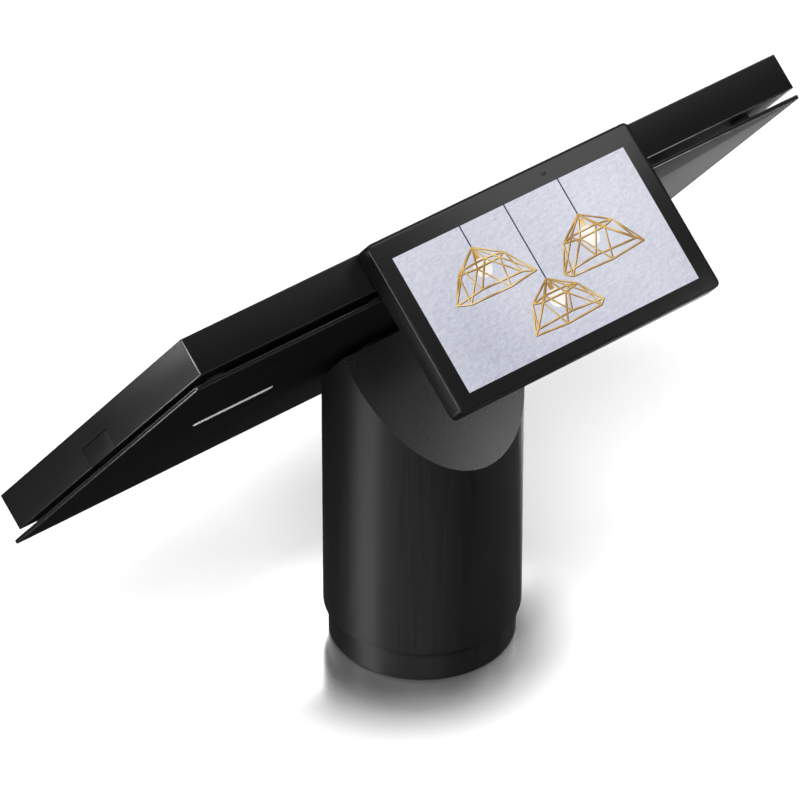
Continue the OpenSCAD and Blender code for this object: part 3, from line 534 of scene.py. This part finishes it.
# ---- Back cover of the head ----------------------------------------------------------------
# A plain moulded cover, seen only through the air gap in front of the floating panel. It is
# notched for the power key and open where the neck goes in.
COVER_T = 1.2 * MM
KEY_ROOM = 1.0 * MM                   # clear of the key and of its travel
back_mid, back_half = centred(back_low, back_high)
back_mesh = slab(*back_half, 0.5 * MM, back_low[2], back_low[2] + COVER_T, 0.1 * MM)
cover_black = satin_black("cover_black", 0.006, 0.6, 0.15)
back_cover = build("head_back_cover", in_head(back_mesh[0] + [*back_mid, 0]), back_mesh[1],
                   cover_black.material, HEAD_BODY, ["head_back"], "black_plastic")
cut_boxes(back_cover, [neck_hole(panel_low[2] - MM, back_high[2]), (
    [back_low[0] - MM, key_low[1] - KEY_ROOM, back_low[2] - MM],
    [key_high[0] + KEY_ROOM, key_high[1] + KEY_ROOM, back_high[2]])])

# ---- Column --------------------------------------------------------------------------------
# A round anodised shell, drawn lengthwise and cut by two facets that meet in a ridge, one facing
# the customer and one running under the head. It is hollow, with a window for the ports at the
# back and a hole for the neck.
column_black = Finish("column_black", Specular_IOR_Level=0.24, Anisotropic=0.8,
                      Anisotropic_Rotation=0.25)
drawn = column_black.noise(1900, 3.0, (1, 1, 0.012))
broad = column_black.noise(420, 2.0, (1, 1, 0.02))
column_black.set("Base Color", column_black.mix(
    drawn, (0.0008, 0.0008, 0.0009), (0.0100, 0.0100, 0.0105)))
column_black.set("Roughness", 0.40 + 0.12 * drawn + 0.08 * broad)
column_black.bump(drawn, 0.00004, 0.30)

column_low, column_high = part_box("column_shell")
column_points = points_of("column_shell")
COLUMN_R = (column_high.x - column_low.x) / 2
ridge_y = float(column_points[column_points[:, 2] > column_high.z - 0.02 * MM][:, 1].mean())
HEAD_TILT = math.atan2(DOWN[1], -DOWN[2])
FACET_TILT = math.radians(41.1)
COLUMN_WALL = 2.5 * MM
FACET_WALL = 3.0 * MM
FOOT_EDGE = 0.4 * MM
SIDE_COLUMNS = 64                     # from the front to the ridge, and from there to the back
FACET_STEPS = 24
RISE = (0.05, 0.2, 0.5, 0.8, 0.95, 1.0)  # of the way up, where the wall has a ring


def rim_height(y, inset):
    """Height of the top over a point: the lower of the two facets' planes, each moved inwards."""
    return column_high.z + np.minimum(
        (y - ridge_y) / math.tan(FACET_TILT) - inset / math.sin(FACET_TILT),
        (ridge_y - y) / math.tan(HEAD_TILT) - inset / math.sin(HEAD_TILT))


def gabled(foot, inset):
    """A round bar whose top is two sloped facets: the last of the foot's (radius, height) pairs
    is carried up to them, and strips across join each side of the rim to the other."""
    radius, low = foot[-1]
    meet_y = ridge_y + inset * (1 / math.sin(FACET_TILT) - 1 / math.sin(HEAD_TILT)) / (
        1 / math.tan(HEAD_TILT) + 1 / math.tan(FACET_TILT))
    meet = math.acos(-meet_y / radius)
    half_turn = np.append(
        np.linspace(0, meet, SIDE_COLUMNS), np.linspace(meet, math.pi, SIDE_COLUMNS)[1:])
    angles = np.append(half_turn, 2 * math.pi - half_turn[-2:0:-1])
    around = np.column_stack([np.sin(angles), -np.cos(angles)])
    rings = [np.column_stack([r * around, np.full(len(angles), z)]) for r, z in foot]
    top = rim_height(radius * around[:, 1], inset)
    rings += [np.column_stack([radius * around, low + share * (top - low)]) for share in RISE]
    faces = [list(f) for f in quads(len(rings), len(angles), False, True)]
    faces.append(list(range(len(angles)))[::-1])
    across = radius * np.sin(half_turn)[:, None] * np.linspace(-1, 1, FACET_STEPS + 1)
    along = np.broadcast_to(-radius * np.cos(half_turn)[:, None], across.shape)
    facets = np.stack([across, along, rim_height(along, inset)], -1).reshape(-1, 3)
    strips = quads(len(half_turn), FACET_STEPS + 1, False, False) + len(rings) * len(angles)
    faces += [list(f) for f in strips]
    return np.vstack([*rings, facets]), faces


column_foot = corner_arc(COLUMN_R - FOOT_EDGE, column_low.z + FOOT_EDGE, FOOT_EDGE, 270)
column_piece = build(
    "column_sleeve", *gabled(column_foot, 0), column_black.material, HEAD_BODY,
    ["column_shell"], "black_anodised", 30)
cut(column_piece, *gabled([(COLUMN_R - COLUMN_WALL, column_low.z - MM)], FACET_WALL))

# The facets are milled flat before the anodising and shine a little more than the drawn side.
facet_black = satin_black("facet_black", 0.0024, 0.28, 0.36)
column_piece.data.materials.append(facet_black.material)
facing_up = np.array([f.normal.z > 0.3 for f in column_piece.data.polygons])
column_piece.data.polygons.foreach_set("material_index", facing_up.astype(np.int32))

recess = points_of("port_panel")
recess = recess[recess[:, 1] > (recess[:, 1].min() + recess[:, 1].max()) / 2]
recess_low, recess_high = recess.min(0), recess.max(0)
cut_boxes(column_piece, [(
    [recess_low[0], 0, recess_low[2]], [recess_high[0], COLUMN_R + MM, recess_high[2]])], np.array)
cut_boxes(column_piece, [neck_hole(neck_low[2] - MM, panel_low[2])])

# ---- Base ring and foot --------------------------------------------------------------------
# A slightly narrower ring, turned from metal and anodised like the column. It fits round the
# ballast with a lip over its edge, and stands still while the column turns above it.
ring_low, ring_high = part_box("base_ring")
RING_R = (ring_high.x - ring_low.x) / 2
RING_BORE = RING_R - 3.0 * MM
LIP_W, LIP_T = 2.0 * MM, 1.1 * MM
RING_FOOT_EDGE, RING_TOP_EDGE = 0.9 * MM, 0.5 * MM


def turned(profile, steps=144):
    """A profile of (radius, height) pairs turned about the column's axis."""
    angle = np.linspace(0, 2 * math.pi, steps, endpoint=False)
    r, z = np.asarray(profile)[:, :1], np.asarray(profile)[:, 1:]
    return np.stack(np.broadcast_arrays(r * np.cos(angle), r * np.sin(angle), z), -1)


ring_profile = np.vstack([
    corner_arc(RING_R - RING_FOOT_EDGE, ring_low.z + RING_FOOT_EDGE, RING_FOOT_EDGE, 270),
    corner_arc(RING_R - RING_TOP_EDGE, ring_high.z - RING_TOP_EDGE, RING_TOP_EDGE, 0),
    [[RING_BORE - LIP_W, ring_high.z], [RING_BORE - LIP_W, ring_high.z - LIP_T],
     [RING_BORE, ring_high.z - LIP_T], [RING_BORE, ring_low.z]],
])
ring_points = turned(ring_profile)
build("base_ring_turned", ring_points.reshape(-1, 3), quads(*ring_points.shape[:2], True, True),
      column_black.material, "base", ["base_ring"], "black_anodised")

# ---- Customer display ----------------------------------------------------------------------
# A moulded housing with rounded corners around a flush black-printed glass. Seen along the
# head's directions it lies across the head's upper face, so its own outline runs across the
# head and out of the screen.
DISPLAY_BODY = "customer_display"
DISPLAY_EDGE = 0.5 * MM
housing_low, housing_high = head_box("display_shell")
pane_low, pane_high = head_box("display_glass")
display_mid = (housing_low[[0, 2]] + housing_high[[0, 2]]) / 2
display_half = (housing_high[[0, 2]] - housing_low[[0, 2]]) / 2
DISPLAY_R = 2.8 * MM


def in_display(points):
    """From the display's own directions, across, up and out of it, to the object's."""
    points = np.asarray(points)
    return in_head(np.column_stack([
        display_mid[0] + points[:, 0], -points[:, 2], display_mid[1] + points[:, 1]]))


front = -housing_low[1]
back = -housing_high[1]
pane_back = -pane_high[1]
pane_rim = pane_low[0] - housing_low[0]
housing_black = satin_black("housing_black", 0.0035, 0.36, 0.09)
housing_profile = np.vstack([
    corner_arc(DISPLAY_EDGE, back + DISPLAY_EDGE, DISPLAY_EDGE, 180)[::-1],
    corner_arc(DISPLAY_EDGE, front - DISPLAY_EDGE, DISPLAY_EDGE, 90)[::-1],
    [[pane_rim - 0.06 * MM, front], [pane_rim - 0.06 * MM, pane_back]],
])
housing_rings = carried_round(housing_profile, *display_half, DISPLAY_R, 9)
housing_rows, housing_columns = housing_rings.shape[:2]
housing_faces = [list(f) for f in quads(housing_rows, housing_columns, False, True)]
housing_faces += [
    list(range(housing_columns)),
    list(range((housing_rows - 1) * housing_columns, housing_rows * housing_columns))]
housing = build("display_housing", in_display(housing_rings.reshape(-1, 3)), housing_faces,
                housing_black.material, DISPLAY_BODY, ["display_shell"], "black_plastic")
# The housing's edges: shinier, with a painted highlight.
polish_and_highlight_edges(housing, edge_polish_and_highlight("display_edge_polish_and_highlight", 0.2), 0.25)

pane_black = Finish("pane_black", Base_Color=(0.006, 0.006, 0.006), Specular_IOR_Level=0.32)
pane_black.set("Roughness", 0.22 + 0.06 * pane_black.noise(30, 3.0))
pane_mesh = slab(*(display_half - pane_rim), DISPLAY_R - pane_rim, pane_back, front, 0.15 * MM, 9)
build("display_pane", in_display(pane_mesh[0]), pane_mesh[1], pane_black.material, DISPLAY_BODY,
      ["display_glass"], "black_glass")

# The eye of its light sensor sits in the border above the picture.
eye_low, eye_high = head_box("display_sensor")
eye_place = (eye_low[[0, 2]] + eye_high[[0, 2]]) / 2 - display_mid
EYE_R = 1.3 * MM
eye_points, eye_faces = slab(
    EYE_R, EYE_R, EYE_R - 0.01 * MM, front, front + FILM, FILM * 0.2, 8)
sensor_window = Finish("sensor_window", Base_Color=(0.012, 0.012, 0.014), Specular_IOR_Level=0.4)
sensor_window.set("Roughness", 0.25 + 0.1 * sensor_window.noise(400, 2.0))
build("sensor_eye", in_display(eye_points + [*eye_place, 0]), eye_faces,
      sensor_window.material, DISPLAY_BODY)

# The picture on it: three wire pendant lamps against a plastered wall. Relief in the plaster is
# the difference between one noise and the same noise a little further on.
CUSTOMER_PICTURE = np.array([130.7, 65.5]) * MM / 2
PICTURE_DROP = 1.34 * MM

LIT_SKIN = dict(Roughness=0.35, Specular_IOR_Level=0.15, Emission_Strength=1.0)
plaster = Finish("plaster", Base_Color=(0.02, 0.02, 0.02), **LIT_SKIN)
PLASTER = dict(scale=520, detail=5.0, stretch=(0.6, 1.2, 1.2), roughness=0.62)
relief = plaster.noise(**PLASTER) - plaster.noise(**PLASTER, shift=(0.0003, 0, -0.0005))
shade = plaster.noise(13, 1.0)
plaster_tone = plaster.node("ShaderNodeValToRGB", {"stops": [
    (0.30, (0.36, 0.37, 0.46)), (0.50, (0.575, 0.59, 0.68)), (0.70, (0.78, 0.79, 0.86))]},
    {"Fac": 0.5 + 0.42 * relief + 0.36 * (shade - 0.5)})
plaster.set("Emission Color", plaster_tone)
wall_points, wall_faces = slab(*CUSTOMER_PICTURE, 0.15 * MM, front, front + FILM, FILM * 0.2, 3)
build("picture_wall", in_display(wall_points - [0, PICTURE_DROP, 0]), wall_faces,
      plaster.material, DISPLAY_BODY)


def lamp_wires(apex, width, spin, sides=6):
    """The wires of one lamp: a hexagon, a wider one below it turned by half a side, their sides,
    the zigzag between them and the wires to the apex, seen almost level with them."""
    step = 2 * math.pi * np.arange(sides) / sides + spin
    half_side = step + math.pi / sides
    upper = np.stack([0.33 * np.cos(step), -0.195 + 0.035 * np.sin(step)], 1)
    lower = np.stack([0.56 * np.cos(half_side) + 0.02, -0.50 + 0.055 * np.sin(half_side)], 1)
    top = np.zeros((sides, 2))

    def after(ring):
        return np.roll(ring, -1, 0)

    wires = np.concatenate([
        np.stack([top, upper], 1), np.stack([upper, after(upper)], 1),
        np.stack([lower, after(lower)], 1), np.stack([upper, lower], 1),
        np.stack([after(upper), lower], 1)])
    return wires * width + apex


def bars(wires, width, lift):
    """Half-round bars along line segments: each is a bow of points across it at both ends."""
    bow = np.linspace(0, math.pi, 6)
    along = wires[:, 1] - wires[:, 0]
    along /= np.linalg.norm(along, axis=1)[:, None]
    across = np.column_stack([-along[:, 1], along[:, 0]])
    reach = (width / 2 * np.cos(bow))[None, None, :, None]
    flat = wires[:, :, None] + reach * across[:, None, None]
    height = np.broadcast_to(lift + FILM * (0.3 + 1.4 * np.sin(bow)), flat.shape[:3])
    points = np.concatenate([flat, height[..., None]], -1)
    one = np.array([[i, i + 1, i + 7, i + 6] for i in range(5)] + [[5, 0, 6, 11]])
    first = 12 * np.arange(len(wires))
    faces = (one[None] + first[:, None, None]).reshape(-1, 4).tolist()
    for f in first:
        faces.append(list(range(f, f + 6)))
        faces.append(list(range(f + 11, f + 5, -1)))
    return points.reshape(-1, 3), faces


def picture_bars(name, wires, width, level, finish):
    """Bars drawn on the picture, at a level counted in films above the wall."""
    points, faces = bars(wires, width, front + level * FILM)
    build(name, in_display(points), faces, finish.material, DISPLAY_BODY)


lamp_apexes = np.array([[0.285, 0.158], [0.476, 0.554], [0.71, 0.268]])
lamp_widths = np.array([40.5, 38.5, 43.0]) * MM
lamp_spins = (0.30, -0.12, 0.14)
apex_places = (lamp_apexes * [2, -2] + [-1, 1]) * CUSTOMER_PICTURE - [0, PICTURE_DROP]
gilt = Finish("gilt_wire", Base_Color=(0.02, 0.015, 0.01), **LIT_SKIN)
gilt.set("Emission Color", gilt.node("ShaderNodeValToRGB", {"stops": [
    (0.30, (0.36, 0.19, 0.04)), (0.50, (0.62, 0.38, 0.10)), (0.68, (0.88, 0.66, 0.30))]},
    {"Fac": gilt.noise(90, 1.0)}))
all_wires = np.concatenate([
    lamp_wires(a, w, s) for a, w, s in zip(apex_places, lamp_widths, lamp_spins)])
SHADED_SIDE = np.array([0.16, -0.26]) * MM
picture_bars("picture_wire_shades", all_wires + SHADED_SIDE, 0.80 * MM, 2.2,
             lit("wire_shade", (0.14, 0.065, 0.02)))
picture_bars("picture_wires", all_wires, 0.62 * MM, 2.9, gilt)

picture_top = CUSTOMER_PICTURE[1] - PICTURE_DROP
cords = np.array([[[a[0], picture_top], [a[0], a[1]]] for a in apex_places])
picture_bars("picture_cords", cords, 0.72 * MM, 1.0, lit("picture_cord", (0.022, 0.035, 0.085)))
sockets = np.array([
    [a - [0, 0.05 * w], a - [0, 0.14 * w]] for a, w in zip(apex_places, lamp_widths)])
picture_bars("picture_sockets", sockets, 2.4 * MM, 1.5, gilt)

BULB_RINGS, BULB_STEPS = 8, 28
BULB_R, BULB_DROP = 0.112, 0.245      # shares of a lamp's width
bulb_angle = np.linspace(0, 2 * math.pi, BULB_STEPS, endpoint=False)
bulb_ring = np.linspace(1, 0.02, BULB_RINGS)
bulb_white = Finish("bulb_white", Base_Color=(0.02, 0.02, 0.02), **LIT_SKIN)
glow = bulb_white.noise(120, 1.0)
bulb_white.set("Emission Color", bulb_white.mix(glow, (0.80, 0.76, 0.70), (1.0, 1.0, 0.99)))
bulb_points, bulb_faces = [], []
for place, width in zip(apex_places, lamp_widths):
    ring = np.stack(np.broadcast_arrays(
        place[0] + BULB_R * width * bulb_ring[:, None] * np.cos(bulb_angle),
        place[1] + width * (BULB_R * bulb_ring[:, None] * np.sin(bulb_angle) - BULB_DROP),
        front + FILM * (1.1 + 0.8 * np.sqrt(1 - bulb_ring[:, None] ** 2))), -1)
    first = len(bulb_points) * BULB_RINGS * BULB_STEPS
    bulb_faces += (quads(BULB_RINGS, BULB_STEPS, False, True) + first).tolist()
    bulb_faces.append([first + i for i in range(BULB_STEPS)])
    bulb_faces.append([first + (BULB_RINGS - 1) * BULB_STEPS + i for i in range(BULB_STEPS)])
    bulb_points.append(ring.reshape(-1, 3))
build("picture_bulbs", in_display(np.vstack(bulb_points)), bulb_faces, bulb_white.material,
      DISPLAY_BODY)

# ---- Metals, boards and cables inside ------------------------------------------------------
# What the casings hold keeps its CAD shape and gets the finish of its own material: drawn and
# plated metal, green boards, moulded plastic, rubber and cable.
def metal(name, tone, rough, stretch=(1, 1, 1), grain=1500):
    """Bare or plated metal with machining marks drawn along the unstretched directions."""
    finish = Finish(name, Metallic=1.0)
    marks = finish.noise(grain, 3.0, stretch)
    finish.set("Base Color", finish.mix(marks, tuple(0.8 * t for t in tone), tone))
    finish.set("Roughness", rough + 0.15 * (marks - 0.5))
    return finish.bump(marks, 0.00002, 0.3)


def moulded(name, tone, rough, grain=1800):
    """Plain moulded plastic or rubber with a fine skin."""
    finish = Finish(name, Specular_IOR_Level=0.35)
    skin = finish.noise(grain, 2.0)
    finish.set("Base Color", finish.mix(skin, tuple(0.8 * t for t in tone), tone))
    finish.set("Roughness", rough + 0.10 * (skin - 0.5))
    return finish.bump(skin, 0.00003, 0.3)


inner_finishes = {
    "black_anodised": column_black,
    "black_plastic": moulded_black,
    "key_plastic": moulded_black,
    "black_glass": black_glass,
    "lcd_module": moulded("module_grey", (0.10, 0.10, 0.11), 0.4),
    "dark_plastic": moulded("dark_plastic", (0.02, 0.02, 0.02), 0.5),
    "washer_plastic": moulded("washer_plastic", (0.62, 0.61, 0.56), 0.4),
    "soft_rubber": moulded("soft_rubber", (0.018, 0.018, 0.018), 0.75, 900),
    "cable_jacket": moulded("cable_jacket", (0.015, 0.015, 0.016), 0.55),
    "cast_iron": metal("cast_iron", (0.20, 0.20, 0.21), 0.6),
    "steel": metal("steel", (0.55, 0.56, 0.58), 0.36, (1, 8, 8)),
    "bare_aluminium": metal("bare_aluminium", (0.72, 0.73, 0.75), 0.38, (1, 8, 8)),
    "plated_screws": metal("plated_screws", (0.72, 0.71, 0.68), 0.25),
    "polished_badge": bright_bar,
    "circuit_board": moulded("circuit_board", (0.015, 0.10, 0.045), 0.35, 700),
    "antenna_brass": metal("antenna_brass", (0.72, 0.55, 0.28), 0.3),
}
slot_of = {row["node"]: row["material_slot"] for row in frame["record"]["subparts"]}
for node_name, node_object in frame["nodes"].items():
    node_object.data.materials.clear()
    node_object.data.materials.append(inner_finishes[slot_of[node_name]].material)

# ---- Floor and light -----------------------------------------------------------------------
# A plain white floor, polished where the foot stands. It stays out of the black surfaces'
# reflections, which see only the dim room and the soft cards around the object. Some cards hang
# lower than the floor, which casts no shadow and lets their light through.
FLOOR_HALF = 6.0
floor_points = np.array([[-1, -1, 0], [1, -1, 0], [1, 1, 0], [-1, 1, 0]], float) * FLOOR_HALF
floor_mesh = bpy.data.meshes.new("floor")
floor_mesh.from_pydata(floor_points.tolist(), [], [[0, 1, 2, 3]])
floor_white = Finish("floor_white", Base_Color=(0.92, 0.92, 0.92), Specular_IOR_Level=0.15,
                     Emission_Strength=1.0)
floor_white.set("Roughness", 0.15 + 0.02 * floor_white.noise(3, 2.0))
POLISHED_MIDDLE = (0.0126, 0.0024, 0)
reach = floor_white.node("ShaderNodeVectorMath", {"operation": "LENGTH"}, {
    0: floor_white.place(shift=POLISHED_MIDDLE)}, 1)
smooth_step = {"interpolation_type": "SMOOTHSTEP"}
floor_white.set("Metallic", floor_white.node("ShaderNodeMapRange", smooth_step, {
    "Value": reach, "From Min": 0.036, "From Max": 0.090, "To Min": 0.92, "To Max": 0.0}))
distance_glow = floor_white.node("ShaderNodeMapRange", {}, {
    "Value": reach, "From Min": 0.5, "From Max": 2.2, "To Min": 0.0, "To Max": 1.0})
floor_white.set("Emission Color", floor_white.mix(distance_glow, (0, 0, 0), (0.74, 0.74, 0.74)))
floor_mesh.materials.append(floor_white.material)
floor = bpy.data.objects.new("floor", floor_mesh)
bpy.context.scene.collection.objects.link(floor)
floor.visible_glossy = False
floor.visible_shadow = False

# A pale wall stands round the floor for views along it. Only the camera sees it, so it adds
# nothing to the light.
WALL_R, WALL_FOOT, WALL_TOP = 5.6, -0.01, 5.0
backdrop_white = Finish("backdrop_white", Base_Color=(0, 0, 0), Emission_Color=(1, 1, 1),
                        Emission_Strength=0.78)
backdrop_points = turned([(WALL_R, WALL_FOOT), (WALL_R, WALL_TOP)], 64)
backdrop_mesh = bpy.data.meshes.new("backdrop")
backdrop_mesh.from_pydata(
    backdrop_points.reshape(-1, 3).tolist(), [],
    quads(*backdrop_points.shape[:2], False, True).tolist())
backdrop_mesh.materials.append(backdrop_white.material)
backdrop = bpy.data.objects.new("backdrop", backdrop_mesh)
bpy.context.scene.collection.objects.link(backdrop)
backdrop.visible_diffuse = backdrop.visible_glossy = backdrop.visible_shadow = False


def card(name, bearing, height, distance, size, radiance, aim=(0, 0, 0.13)):
    """A soft rectangular card facing the object. Its bearing is counted from the camera's, in
    degrees to the left, and its height is an angle above the floor."""
    turn = CAMERA_AZIMUTH - math.radians(bearing)
    level = math.cos(math.radians(height))
    direction = Vector((
        math.sin(turn) * level, -math.cos(turn) * level, math.sin(math.radians(height))))
    data = bpy.data.lights.new(name, "AREA")
    data.shape = "RECTANGLE"
    data.size, data.size_y = size
    data.energy = radiance * math.pi * size[0] * size[1]
    lamp = bpy.data.objects.new(name, data)
    lamp.location = Vector(aim) + direction * distance
    lamp.rotation_mode = "QUATERNION"
    lamp.rotation_quaternion = (-direction).to_track_quat("-Z", "Y")
    lamp.visible_camera = False
    bpy.context.scene.collection.objects.link(lamp)


card("key", 0, 52, 3.6, (2.4, 2.4), 9.0)
card("back", 180, 38, 3.0, (6.0, 3.0), 1.7)
card("left_wide", 42, 0, 1.6, (0.6, 1.0), 3.7)
card("left_low", 70, -24, 1.2, (0.28, 1.2), 4.4)
card("left_under", 58, -34, 0.9, (0.2, 0.2), 14.0)
card("left_near", 82, -10, 0.42, (0.10, 0.12), 13.0, (-0.05, -0.05, 0.22))
card("left_edge", 32, 28, 1.4, (0.16, 0.16), 30.0)
card("right_near", -82, 26, 0.39, (0.11, 0.11), 11.0, (0.03, -0.05, 0.107))
card("right_high", -100, 58, 0.9, (0.34, 0.34), 3.0)
card("right_rim", -116, -22, 1.2, (0.10, 1.0), 1.5)
card("behind_low", -172, -45, 0.5, (0.26, 0.26), 5.5, (0.24, 0.0, 0.21))

world = bpy.data.worlds.new("studio")
world.use_nodes = True
dim_room = world.node_tree.nodes["Background"]
dim_room.inputs["Color"].default_value = (1, 1, 1, 1)
dim_room.inputs["Strength"].default_value = 0.058
bpy.context.scene.world = world
bpy.context.scene.view_settings.view_transform = "Standard"
